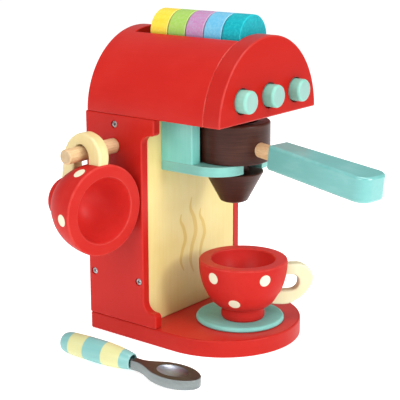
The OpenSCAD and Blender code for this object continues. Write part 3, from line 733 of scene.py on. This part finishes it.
half_disc = fillet([(64.985, SEAM, 1.1)] + [(x, y, 0) for x, y in arc(0, ARCH_Z, R, 2.6, 177.4, 118)] + [(-64.985, SEAM, 1.1)], 4)
hole = [(12.5, 42.5), (12.5, 50.0), (10.0, 50.0), (10.0, 57.5), (10.15, 57.85), (10.5, 58.0)]
b = Build()
slab(b, half_disc, 42.5, 58, 0.8, 1.2, holes=[(x, 203.5, hole, 64) for x in (-36, 0, 36)], seg=5, cap1_mat=1)
finish_piece(b.make("hood_front_board_shaped", TO_FRONT, [red_arch, red_x]), "machine", "red_paint", "hood_front_board")

b = Build()
w = math.sqrt(53**2 - 11.2**2) - 0.3
slab(b, fillet([(-w, -42.5, 0.4), (w, -42.5, 0.4), (w, 62, 0.4), (-w, 62, 0.4)], 2), SEAM, SEAM + 10, 0.6, 0.3)
finish_piece(b.make("hood_bottom_board_flat", UP, [red_y]), "machine", "red_paint", "hood_bottom_board")

b = Build()
lip = 23.5
tray = [(-lip, 226), (lip, 226), (lip, 232.5), (20.5, 233.7), (20.5, 229), (-20.5, 229), (-20.5, 233.7), (-lip, 232.5)]
slab(b, fillet([(x, y, 0.25) for x, y in tray], 2), -62, 42.5, 0.2, 0.2)
finish_piece(b.make("capsule_tray_channel", TO_FRONT, [red_y]), "machine", "red_paint", "capsule_tray")

# --------------------------------------------------------------- buttons
for i, name in ((-1, "left"), (0, "centre"), (1, "right")):
    b = Build()
    prof = bend(
        [(0.001, -38, 0), (2.5, -38, 0.4), (2.5, -47, 0), (12, -47, 0.4), (12, -50, 0.4), (9, -50, 0), (9, -67, 2.3), (4, -67.12, 0), (0.001, -67.15, 0)],
        6,
    )
    prof = [(r, -y) for r, y in prof]
    # the sides take the lighter copy of the paint: painted light
    lathe(b, prof, 72, mats=[1 if r > 7.5 else 0 for r, _ in prof][:-1])
    finish_piece(b.make("button_%s_turned" % name, placing((36 * i, 0, 203.5), None, TO_FRONT), [pale_mint, pale_mint_lit_side]), "button_%s" % name, "pale_mint_paint", "button_%s" % name)

    # return spring
    b = Build()
    turns, seg, sides, rc, rw = 5, 24, 8, 4.2, 0.5
    ya, yb = -46.95 + rw, -33.55 - rw
    cnt = turns * seg
    rows = []
    for k in range(cnt + 1):
        a = 2 * math.pi * k / seg
        y = ya + (yb - ya) * k / cnt
        ring = []
        for j in range(sides):
            q = 2 * math.pi * j / sides
            ring.append(((rc + rw * math.cos(q)) * math.cos(a), -y - rw * math.sin(q), (rc + rw * math.cos(q)) * math.sin(a)))
        rows.append(b.add([(x, z, -yy) for x, yy, z in ring], [0.0] * sides))
    for k in range(cnt):
        for j in range(sides):
            q = (j + 1) % sides
            b.f.append((rows[k] + j, rows[k] + q, rows[k + 1] + q, rows[k + 1] + j))
    b.f.append(tuple(rows[0] + j for j in range(sides))[::-1])
    b.f.append(tuple(rows[-1] + j for j in range(sides)))
    b.m = [0] * len(b.f)
    sp = b.make("spring_%s_wound" % name, placing((36 * i, 0, 203.5), None, ((0, 0, 0), (1, 0, 0), (0, 0, 1), (0, 1, 0))), [spring_steel])
    auto(sp, 60)
    finish_piece(sp, "machine", "steel", "spring_%s" % name)
    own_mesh(sp)

# --------------------------------------------------------------- bracket
for side, name in ((-1, "left"), (1, "right")):
    b = Build()
    xs = sorted((side * 29.75, side * 40))
    slab(b, fillet([(xs[0], -12.4, 0.5), (xs[1], -12.4, 0.5), (xs[1], 19, 0.3), (xs[0], 19, 0.3)], 4), 148.5, SEAM, 0.35, 0.35)
    finish_piece(b.make("bracket_cheek_%s_block" % name, UP, [mint]), "machine", "mint_paint", "bracket_cheek_%s" % name)

b = Build()
outer_r, slot_r = 26.0, 12.5
left_arc = arc(-14, -17, outer_r, 180, 270, 24)
right_arc = arc(14, -17, outer_r, 270, 360, 24)
inner = arc(0, -24, slot_r, 180, 0, 40)
rounded = fillet(
    [(-40, 19, 0.3)] + [(x, y, 0) for x, y in left_arc] + [(-slot_r, -43, 0.9)] + [(x, y, 0) for x, y in inner] + [(slot_r, -43, 0.9)] + [(x, y, 0) for x, y in right_arc] + [(40, 19, 0.3)],
    4,
)
csink = [(3.4, 140.5), (3.4, 143.4), (1.8, 143.4), (1.8, 148.5)]
slab(b, rounded, 140.5, 148.5, 0.8, 0.8, holes=[(x, 3, csink, 32) for x in (-34.875, 34.875)])
finish_piece(b.make("fork_plate_shaped", UP, [mint_fork]), "machine", "mint_paint", "fork_plate")

# ------------------------------------------------------------------- peg
b = Build()
lathe(b, bend([(0.001, -57.5, 0), (6, -57.5, 0.3), (6, -119.5, 1.1), (0.001, -119.5, 0)], 4)[::-1], 64, mats=[1] + [0] * 20)
peg = b.make("cup_peg_dowel", ((0, 47.9, 160.75), (0, 1, 0), (0, 0, 1), (1, 0, 0)), [beech, beech_end])
finish_piece(peg, "machine", "bare_wood", "cup_peg")

# --------------------------------------------------------- filter holder
b = Build()
lathe(
    b,
    bend([(11.9, 148.5, 0.5), (29, 148.5, 1.0), (29, 180.5, 2.1), (19.3, 180.5, 0.8), (18.8, 164.5, 1.5), (0.001, 164.5, 0)], 5),
    128,
)
finish_piece(b.make("filter_drum_turned", placing((0, -24, 0)), [brown]), "filter_holder", "brown_paint", "filter_drum")
b = Build()
lathe(
    b,
    bend([(0.001, 113.6, 0), (8.6, 113.6, 0), (11.2, 114.7, 1.6), (24.4, 139.5, 1.1), (11.8, 139.5, 0.4), (11.8, 156, 0.3), (0.001, 156, 0)], 5),
    128,
)
finish_piece(b.make("filter_spout_turned", placing((0, -24, 0)), [brown]), "filter_holder", "brown_paint", "filter_spout")

AIM = rot("z", -8.2) @ rot("x", 5.4)
aim_y = ((0, 0, 0), (1, 0, 0), (0, 0, 1), (0, -1, 0))
b = Build()
lathe(b, bend([(0.001, 19.8, 0), (6, 19.8, 0.3), (6, 69.5, 0.6), (0.001, 69.5, 0)], 4), 64)
finish_piece(b.make("filter_dowel_round", placing((0, -24, 162.8), AIM, aim_y), [beech_y]), "filter_holder", "bare_wood", "filter_dowel")

b = Build()
hand = fillet([(-10.8, -46, 2.6), (-15.15, -145.5, 10), (15.15, -145.5, 10), (10.8, -46, 2.6)], 10)
slab(b, hand, -10, 10, 2.4, 2.4, seg=6)
finish_piece(b.make("filter_handle_block", placing((0, -24, 162.8), AIM), [aqua]), "filter_holder", "aqua_paint", "filter_handle")


# ------------------------------------------------------------------ cups
def curve(points, per=4):
    """A smooth line through the points (Catmull-Rom), `per` steps to a stretch."""
    p = np.array(points, float)
    out = []
    for k in range(len(p) - 1):
        p0, p1, p2, p3 = p[max(k - 1, 0)], p[k], p[k + 1], p[min(k + 2, len(p) - 1)]
        for t in np.linspace(0, 1, per, endpoint=False):
            out.append(tuple(0.5 * (2 * p1 + (p2 - p0) * t + (2 * p0 - 5 * p1 + 4 * p2 - p3) * t * t + (3 * p1 - p0 - 3 * p2 + p3) * t**3)))
    return out + [tuple(p[-1])]


FOOT = bend(
    [(0.001, 0.9, 0), (13.0, 0.9, 0.3), (13.9, 0, 0.3), (17.1, 0, 0.6), (17.95, 1.8, 1.4), (17.95, 4.4, 4.0), (17.3, 8.0, 4.0), (17.3, 10.15, 0.55), (19.2, 10.55, 0)],
    5,
)
BOWL = curve([(19.2, 10.55), (20.8, 10.95), (22.8, 12.2), (25.8, 15.2), (28.6, 19.1), (31, 23.5), (33, 28.2), (34.5, 33), (35.5, 38), (36, 42.4), (36.2, 46)], 3)
RIM = bend([(36.2, 46, 0), (36.2, 50, 1.5), (26.3, 50, 1.2), (26.25, 48.8, 0)], 5)
HOLLOW = [(26.25 * math.cos(math.radians(90 * k / 30)), 48.8 - 31.8 * math.sin(math.radians(90 * k / 30))) for k in range(1, 30)] + [(0.001, 17.0)]
prof_cup = FOOT[:-1] + BOWL[:-1] + RIM + HOLLOW

EAR_FRONT = curve(
    [(23.4, 10.2), (30.2, 9.5), (36.1, 9.5), (41.1, 10.9), (46.1, 13.6), (50.4, 17), (53.8, 20.9), (56.7, 25.2), (58.1, 29.5), (58, 33), (56.6, 36.6), (54, 39.6), (50.5, 42.3), (46, 43.9), (40, 44.1), (33, 44)],
    4,
)
EAR_FRONT += [(30, 34.9), *arc(39.2, 28.05, 6.85, 90, -90, 26), (27, 21.2), (20.5, 12.6)]
EAR_HANGING = curve(
    [(15.5, 1.2), (22, 2), (28.4, 3), (36, 4.5), (41, 5.8), (44, 7.2), (48.6, 10.3), (52.4, 14.3), (55.7, 19.4), (57.9, 24.8), (58.6, 28.6), (58.3, 32.6), (56.9, 38.3), (54.2, 43.4), (50, 47.2), (45.2, 49.3), (41, 49.7), (36.6, 49.1), (33, 47.6)],
    4,
)
EAR_HANGING += [(30, 35.6), *arc(39.2, 26.2, 9.4, 90, -90, 32), (24.5, 16.8), (15.5, 11.5)]
# dots on the bowl: (angle, height)
DOTS_FRONT = [(a, 40.7) for a in (-143, -71.6, 1, 73, 145)] + [(a, 19.5) for a in (-114.8, -24.8, 65.2, 155.2)]
DOTS_HANGING = [(29, 40.6), (94.5, 41.7), (166, 40.7), (239, 40.7), (311, 40.7)] + [(a, 19.5) for a in (20, 110, 200, 290)]

ivory_dot = srgb(214, 212, 186)


def cup(place, tag, body, nodes, ear, dots, ear_paint):
    o, u, v, w = place
    spots = []
    for a, h in dots:
        r = np.interp(h, [p[1] for p in BOWL], [p[0] for p in BOWL])
        p = (o + r * math.cos(math.radians(a)) * u + r * math.sin(math.radians(a)) * v + h * w) * MM
        spots.append((tuple(p), 0.00475))
    m = paint("red_lacquer_cup_%s" % tag, red_cup[0], "x", red_cup[1], red_cup[2], dots=spots, dot_colour=ivory_dot, edge_colour=srgb(206, 84, 76), wear_and_highlight=0.4, **{**SATIN, "spec": 0.07, "rough": 0.45, "mottle": 0.5})
    b = Build()
    # the hollow and, on the front cup, the rim's top take the lighter red: painted light on the rim
    outside = len(prof_cup) - len(HOLLOW) - (2 if tag == "hanging" else 10)
    lathe(b, prof_cup, 128, mats=[0] * outside + [1] * (len(prof_cup) - 1 - outside))
    finish_piece(b.make("cup_%s_bowl_turned" % tag, place, [m, red_lighter_inside_lit_rim]), body, "red_paint", nodes[0])
    # the ear: outline in U (outwards) and W (up), ending inside the bowl's wall
    b = Build()
    slab(b, ear, -5, 5, 1.9, 1.9, seg=5)
    finish_piece(b.make("cup_%s_ear_shaped" % tag, (o, u, w, -np.array(v)), [ear_paint]), body, "ivory_paint", nodes[1])


cup(placing((-3.5, -36.4, 18), rot("z", -43)), "front", "front_cup", ("cup_front_bowl", "cup_front_handle"), EAR_FRONT, DOTS_FRONT, ivory_front)
cup(placing((-95.3, 73.5, 120.1), rot("z", -8) @ rot("x", 1.75) @ rot("y", -90) @ rot("x", 90)), "hanging", "hanging_cup", ("cup_hanging_bowl", "cup_hanging_handle"), EAR_HANGING, DOTS_HANGING, ivory)

# -------------------------------------------------------------- capsules
STAINS = {
    # light, mid, fleck, edge (a painted highlight on the rounded edges), how much fleck
    "teal": (srgb(0, 164, 174), srgb(0, 142, 156), srgb(34, 182, 188), srgb(16, 176, 184), 0.55),
    "blue": (srgb(104, 178, 208), srgb(84, 164, 202), srgb(140, 190, 208), srgb(150, 206, 226), 0.5),
    "purple": (srgb(184, 130, 170), srgb(172, 114, 160), srgb(166, 156, 184), srgb(198, 158, 186), 0.7),
    "green": (srgb(154, 190, 84), srgb(142, 184, 70), srgb(168, 192, 128), srgb(182, 206, 130), 0.6),
    "yellow": (srgb(226, 204, 56), srgb(226, 190, 36), srgb(228, 212, 110), srgb(226, 212, 122), 0.4),
}
for i, name in enumerate(("teal", "blue", "purple", "green", "yellow")):
    light, mid, fleck, rim, much = STAINS[name]
    m = bare("%s_stained_wood" % name, light, mid, mid, "y", spec=0.22 if name == "teal" else 0.45, fleck=0.6, bump=0.12, centre=(0, 0.031 * i, 0.007 * i), edge_colour=rim, speckle=fleck, speckle_amount=much, painted_shade_y=(-24.2 + i * 18.1) * MM if name in ("green", "purple", "blue") or i == 0 else None)
    b = Build()
    lathe(b, bend([(0.001, 0.2, 0), (18, 0.2, 0.8), (18, 17.8, 0.8), (0.001, 17.8, 0)], 4), 96)
    y = -42 + i * 18.1
    finish_piece(b.make("capsule_%s_turned" % name, ((0, y + 18, 247), (1, 0, 0), (0, 0, 1), (0, -1, 0)), [m]), "capsule_%s" % name, "%s_stain" % name, "capsule_%s" % name)

# ----------------------------------------------------------------- spoon
SPOON = placing((-118.85, 20.6, 9.7), rot("z", 5.8) @ rot("x", 2.65))
spoon_mint = paint("spoon_mint_lacquer", srgb(119, 174, 171), "y", srgb(152, 190, 188), srgb(98, 157, 154), rough=0.36)
spoon_yellow = paint("spoon_yellow_lacquer", srgb(200, 198, 142), "y", srgb(204, 206, 170), srgb(192, 186, 118), rough=0.4)
o, u, v, w = SPOON
handle_place = (o, u, w, -np.array(v))  # W runs along local -Y, towards the scoop
outer = [(0.001, -33.7), *curve([(1.9, -33.6), (3.7, -33.15), (5.4, -32.3), (6.75, -31.1), (7.7, -29.4), (8.35, -27.2), (8.75, -24.3), (8.95, -20.5), (9.15, -14), (9.31, -7), (9.36, 0), (9.31, 5.3), (9.1, 12.3), (8.67, 18.4), (8.13, 23.7), (7.49, 28.1), (6.85, 31.6), (6.45, 33.4)], 2)]
outer += [(6.2, 34.2), (5.8, 34.55), (5.45, 34.5), (5.2, 34.2), (5.1, 33.8), (5.1, 24), (0.001, 24)]
cuts = [-22.5, -7.9, 9.7, 26.0]
prof = []
for (r0_, w0_), (r1_, w1_) in zip(outer, outer[1:]):
    prof.append((r0_, w0_))
    for c in cuts:
        if w0_ < c < w1_:
            t = (c - w0_) / (w1_ - w0_)
            prof.append((r0_ + (r1_ - r0_) * t, c))
prof.append(outer[-1])
band = []
inside = False
for (r0_, w0_), (r1_, w1_) in zip(prof, prof[1:]):
    if w0_ >= 34.5 and w1_ < w0_:
        inside = True
    mid_w = (w0_ + w1_) / 2
    band.append(0 if inside else sum(mid_w > c for c in cuts) % 2)
b = Build()
lathe(b, prof, 96, mats=band)
finish_piece(b.make("spoon_handle_turned", handle_place, [spoon_mint, spoon_yellow]), "spoon", "spoon_stripes", "spoon_handle")


def silver(name, base, pale, metallic, rough, bump=0.12, tint_band=None):
    m, nt, bsdf = start(name)
    n1 = noise(nt, coords(nt, (1000, 1000, 1000)), 0.9, 3.0, 0.6)
    n2 = noise(nt, coords(nt, (1000, 200, 1000)), 0.2, 3.0, 0.6)
    f = ramp(nt, math_(nt, "ADD", math_(nt, "MULTIPLY", n1, 0.4), math_(nt, "MULTIPLY", n2, 0.6)), 0.35, 0.65)
    col = mix(nt, f, base, pale)
    if tint_band is not None:
        # painted shade: the silver turns darker towards one end
        tc = nt.nodes.new("ShaderNodeTexCoord")
        y = link(nt, "ShaderNodeSeparateXYZ", {0: tc.outputs["Object"]}).outputs[1]
        col = mix(nt, math_(nt, "MULTIPLY", ramp(nt, y, tint_band[0], tint_band[1]), ramp(nt, n2, 0.3, 0.7, 0.75, 1.0)), col, tint_band[2])
    nt.links.new(col, bsdf.inputs["Base Color"])
    bsdf.inputs["Metallic"].default_value = metallic
    nt.links.new(ramp(nt, n1, 0.3, 0.7, rough - 0.05, rough + 0.08), bsdf.inputs["Roughness"])
    bp = link(nt, "ShaderNodeBump", {"Height": n2, "Strength": bump, "Distance": 0.0003})
    nt.links.new(bp.outputs[0], bsdf.inputs["Normal"])
    return m


silver_side = silver("silver_paint_side", srgb(112, 119, 119), srgb(130, 137, 137), 0.35, 0.42)
# painted reflection: the silver-painted scoop's flat top is coloured dark brown-grey, as a reflection of dark
# surroundings
silver_top_dark_reflection = silver("silver_paint_top_dark_reflection", srgb(48, 38, 33), srgb(72, 59, 51), 0.2, 0.4)
# painted shade: the hollow's silver darkens towards one end
silver_dish = silver("silver_paint_dish", srgb(146, 152, 163), srgb(170, 177, 189), 0.75, 0.33, 0.02, tint_band=(-0.046, -0.0595, srgb(66, 58, 58)))

b = Build()
side_line = curve([(3.8, -35), (3.8, -39), (3.9, -42.2), (5.2, -46.5), (7.2, -50.5), (9.2, -54), (10.8, -56.8), (12.4, -60.5), (13.5, -64.5), (14.2, -69), (14.5, -73.5), (14.1, -78), (12.9, -82.5), (11.1, -86.4), (9.1, -89.5), (6.9, -92), (4, -94.1), (0, -95.1)], 3)
pts = [(-x, y) for x, y in side_line[:-1]] + [(x, y) for x, y in reversed(side_line)]
DISH_X, DISH_Y, DISH_A, DISH_B, DISH_DEEP = 0.3, -71.0, 9.3, 13.2, 3.2


def dish(x, y):
    """Depth of the oval hollow at (x, y)."""
    d = math.hypot((x - DISH_X) / DISH_A, (y - DISH_Y) / DISH_B)
    return DISH_DEEP * (1 - d * d) ** 0.85 if d < 1 else 0.0


def dished_top(b, ring_idx):
    """The board's top: a flat border, then rings of an oval that go down into the hollow."""
    ring_pts = [Vector(b.v[i][:2]) for i in ring_idx]
    n, m, depth = len(ring_pts), 72, 16
    oval = [(DISH_X + DISH_A * math.cos(2 * math.pi * i / m), DISH_Y + DISH_B * math.sin(2 * math.pi * i / m)) for i in range(m)]
    base_ = b.add([(x, y, 2.3) for x, y in oval], [0.6] * m)
    rows = [[base_ + i for i in range(m)]]
    for k in range(1, depth):
        t = math.cos(math.pi / 2 * k / depth)
        q = [(DISH_X + (x - DISH_X) * t, DISH_Y + (y - DISH_Y) * t) for x, y in oval]
        s = b.add([(x, y, 2.3 - dish(x, y)) for x, y in q], [0.0] * m)
        rows.append([s + i for i in range(m)])
    bottom = b.add([(DISH_X, DISH_Y, 2.3 - DISH_DEEP)], [0.0])
    for r, s in zip(rows, rows[1:]):
        for i in range(m):
            j = (i + 1) % m
            b.f.append((r[i], r[j], s[j], s[i]))
            b.m.append(2)
    for i in range(m):
        b.f.append((rows[-1][i], rows[-1][(i + 1) % m], bottom))
        b.m.append(2)
    flat = [*ring_idx, *rows[0]]
    tris = tessellate_polygon([[Vector((p[0], p[1], 0)) for p in ring_pts], [Vector((x, y, 0)) for x, y in oval]])
    for t in tris:
        i, j, k = (flat[x] for x in t)
        a, c, d = b.v[i], b.v[j], b.v[k]
        area = (c[0] - a[0]) * (d[1] - a[1]) - (c[1] - a[1]) * (d[0] - a[0])
        if abs(area) < 1e-9:
            continue
        b.f.append((i, j, k) if area > 0 else (i, k, j))
        b.m.append(1)


slab(b, pts, -5.3, 2.3, 0.7, 0.5, seg=3, cap1=dished_top)
# the tenon that goes into the handle
ring = []
for y, r in ((-38.0, 0.0), (-38.0, 3.3), (-24.3, 3.3), (-24.0, 3.0), (-24.0, 0.0)):
    cnt = 1 if r == 0 else 32
    s = b.add([(r * math.cos(2 * math.pi * i / 32), y, -1.5 + r * math.sin(2 * math.pi * i / 32)) for i in range(cnt)], [0.0] * cnt)
    ring.append([s + (i if cnt > 1 else 0) for i in range(32)])
for r, s in zip(ring, ring[1:]):
    for i in range(32):
        j = (i + 1) % 32
        idx = [r[i], s[i], s[j], r[j]]
        b.f.append(tuple(dict.fromkeys(idx)))
        b.m.append(0)
b.n = []
scoop = b.make("spoon_scoop_carved", SPOON, [silver_side, silver_top_dark_reflection, silver_dish])
scoop.data.set_sharp_from_angle(angle=math.radians(32))
finish_piece(scoop, "spoon", "silver_paint", "spoon_scoop")

# ---------------------------------------------- printed ornament on cream
def wisp(b, points, widths, lift=0.06):
    """A tapering printed stroke along a smooth line through points (x, z): a thin closed film on the panel's face."""
    q = np.array(curve(points, 12))
    s = np.linspace(0, 1, len(q))
    half_w = np.interp(s, np.linspace(0, 1, len(widths)), widths) / 2
    d = np.gradient(q, axis=0)
    d /= np.linalg.norm(d, axis=1)[:, None]
    side_ = np.stack([-d[:, 1], d[:, 0]], 1) * half_w[:, None]
    lo, hi = -19.05, -19.0 + lift
    rows = [b.add([(*x, hi), (*y, hi), (*y, lo), (*x, lo)], [0.0] * 4) for x, y in zip(q + side_, q - side_)]
    for r, s in zip(rows, rows[1:]):
        for k in range(4):
            j = (k + 1) % 4
            b.f.append((r + k, r + j, s + j, s + k))
    b.f.append(tuple(rows[0] + k for k in range(4))[::-1])
    b.f.append(tuple(rows[-1] + k for k in range(4)))
    b.m = [0] * len(b.f)


b = Build()
wisp(b, [(1, 44), (-3, 55), (-1, 67), (4, 79), (2, 91), (-3, 101), (-1, 110)], [1.0, 3.4, 4.4, 4.6, 4.2, 3.0, 0.6])
wisp(b, [(-12, 48), (-16, 57), (-14, 66), (-10, 75), (-12, 85), (-16, 92), (-15, 98)], [0.8, 2.9, 3.7, 4.0, 3.5, 2.4, 0.6])
wisp(b, [(14, 48), (10, 57), (12, 66), (16, 75), (14, 85), (10, 92), (11, 98)], [0.8, 2.9, 3.7, 4.0, 3.5, 2.4, 0.6])
ornament = b.make("steam_ornament_print", TO_FRONT, [print_m])
ornament.data.set_sharp_from_angle(angle=math.radians(30))
finish_piece(ornament, "machine", "cream_paint")

# ------------------------------------------- CAD nodes that show as made
for n in ("top_rail", "tray_supports", "button_spring_board"):
    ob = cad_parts[n]
    ob.data.materials.clear()
    ob.data.materials.append(beech_in)

# ----------------------------------------------------------------- stage
FLOOR_GLOW = 0.6
mesh = bpy.data.meshes.new("floor")
mesh.from_pydata([(-6, -6, -0.0001), (6, -6, -0.0001), (6, 6, -0.0001), (-6, 6, -0.0001)], [], [(0, 1, 2, 3)])
floor = bpy.data.objects.new("floor", mesh)
bpy.context.scene.collection.objects.link(floor)
m, nt, bsdf = start("pale_floor")
bsdf.inputs["Base Color"].default_value = (0.92, 0.92, 0.92, 1)
bsdf.inputs["Roughness"].default_value = 0.9
bsdf.inputs["Specular IOR Level"].default_value = 0.1
bsdf.inputs["Emission Color"].default_value = (1, 1, 1, 1)
bsdf.inputs["Emission Strength"].default_value = FLOOR_GLOW
mesh.materials.append(m)

WORLD = 0.41
LIGHTS = [
    # name, where (m), size (m), power (W)
    ("left_softbox", (-1.6, -0.15, 0.85), 1.0, 14.0),
    ("front_softbox", (0.1, -1.45, 1.0), 0.6, 8.8),
    ("low_front_softbox", (0.04, -1.4, 0.5), 0.3, 6.4),
    ("top_softbox", (-0.1, -0.2, 1.9), 1.0, 18.5),
]
world = bpy.data.worlds.new("studio")
bpy.context.scene.world = world
world.use_nodes = True
backdrop = world.node_tree.nodes["Background"]
backdrop.inputs[0].default_value = (1, 1, 1, 1)
backdrop.inputs[1].default_value = WORLD
for name, where, size, power in LIGHTS:
    d = bpy.data.lights.new(name, "AREA")
    d.size = size
    d.energy = power
    lamp = bpy.data.objects.new(name, d)
    lamp.location = where
    lamp.rotation_euler = (Vector((0, 0, 0.12)) - Vector(where)).to_track_quat("-Z", "Y").to_euler()
    bpy.context.scene.collection.objects.link(lamp)

cam = bpy.data.cameras.new("camera")
cam.sensor_width = 36
cam.lens = 105.422
camera = bpy.data.objects.new("camera", cam)
right = Vector((0.617686, -0.786424, -0.001041))
down = Vector((-0.200197, -0.155961, -0.967263))
fwd = Vector((0.760516, 0.597674, -0.253774))
camera.matrix_world = Matrix.Translation((-0.742071, -0.572029, 0.355896)) @ Matrix((right, -down, -fwd)).transposed().to_4x4()
bpy.context.scene.collection.objects.link(camera)
bpy.context.scene.camera = camera
bpy.context.scene.view_settings.view_transform = "Standard"
bpy.context.scene.view_settings.look = "None"

bpy.context.view_layer.update()
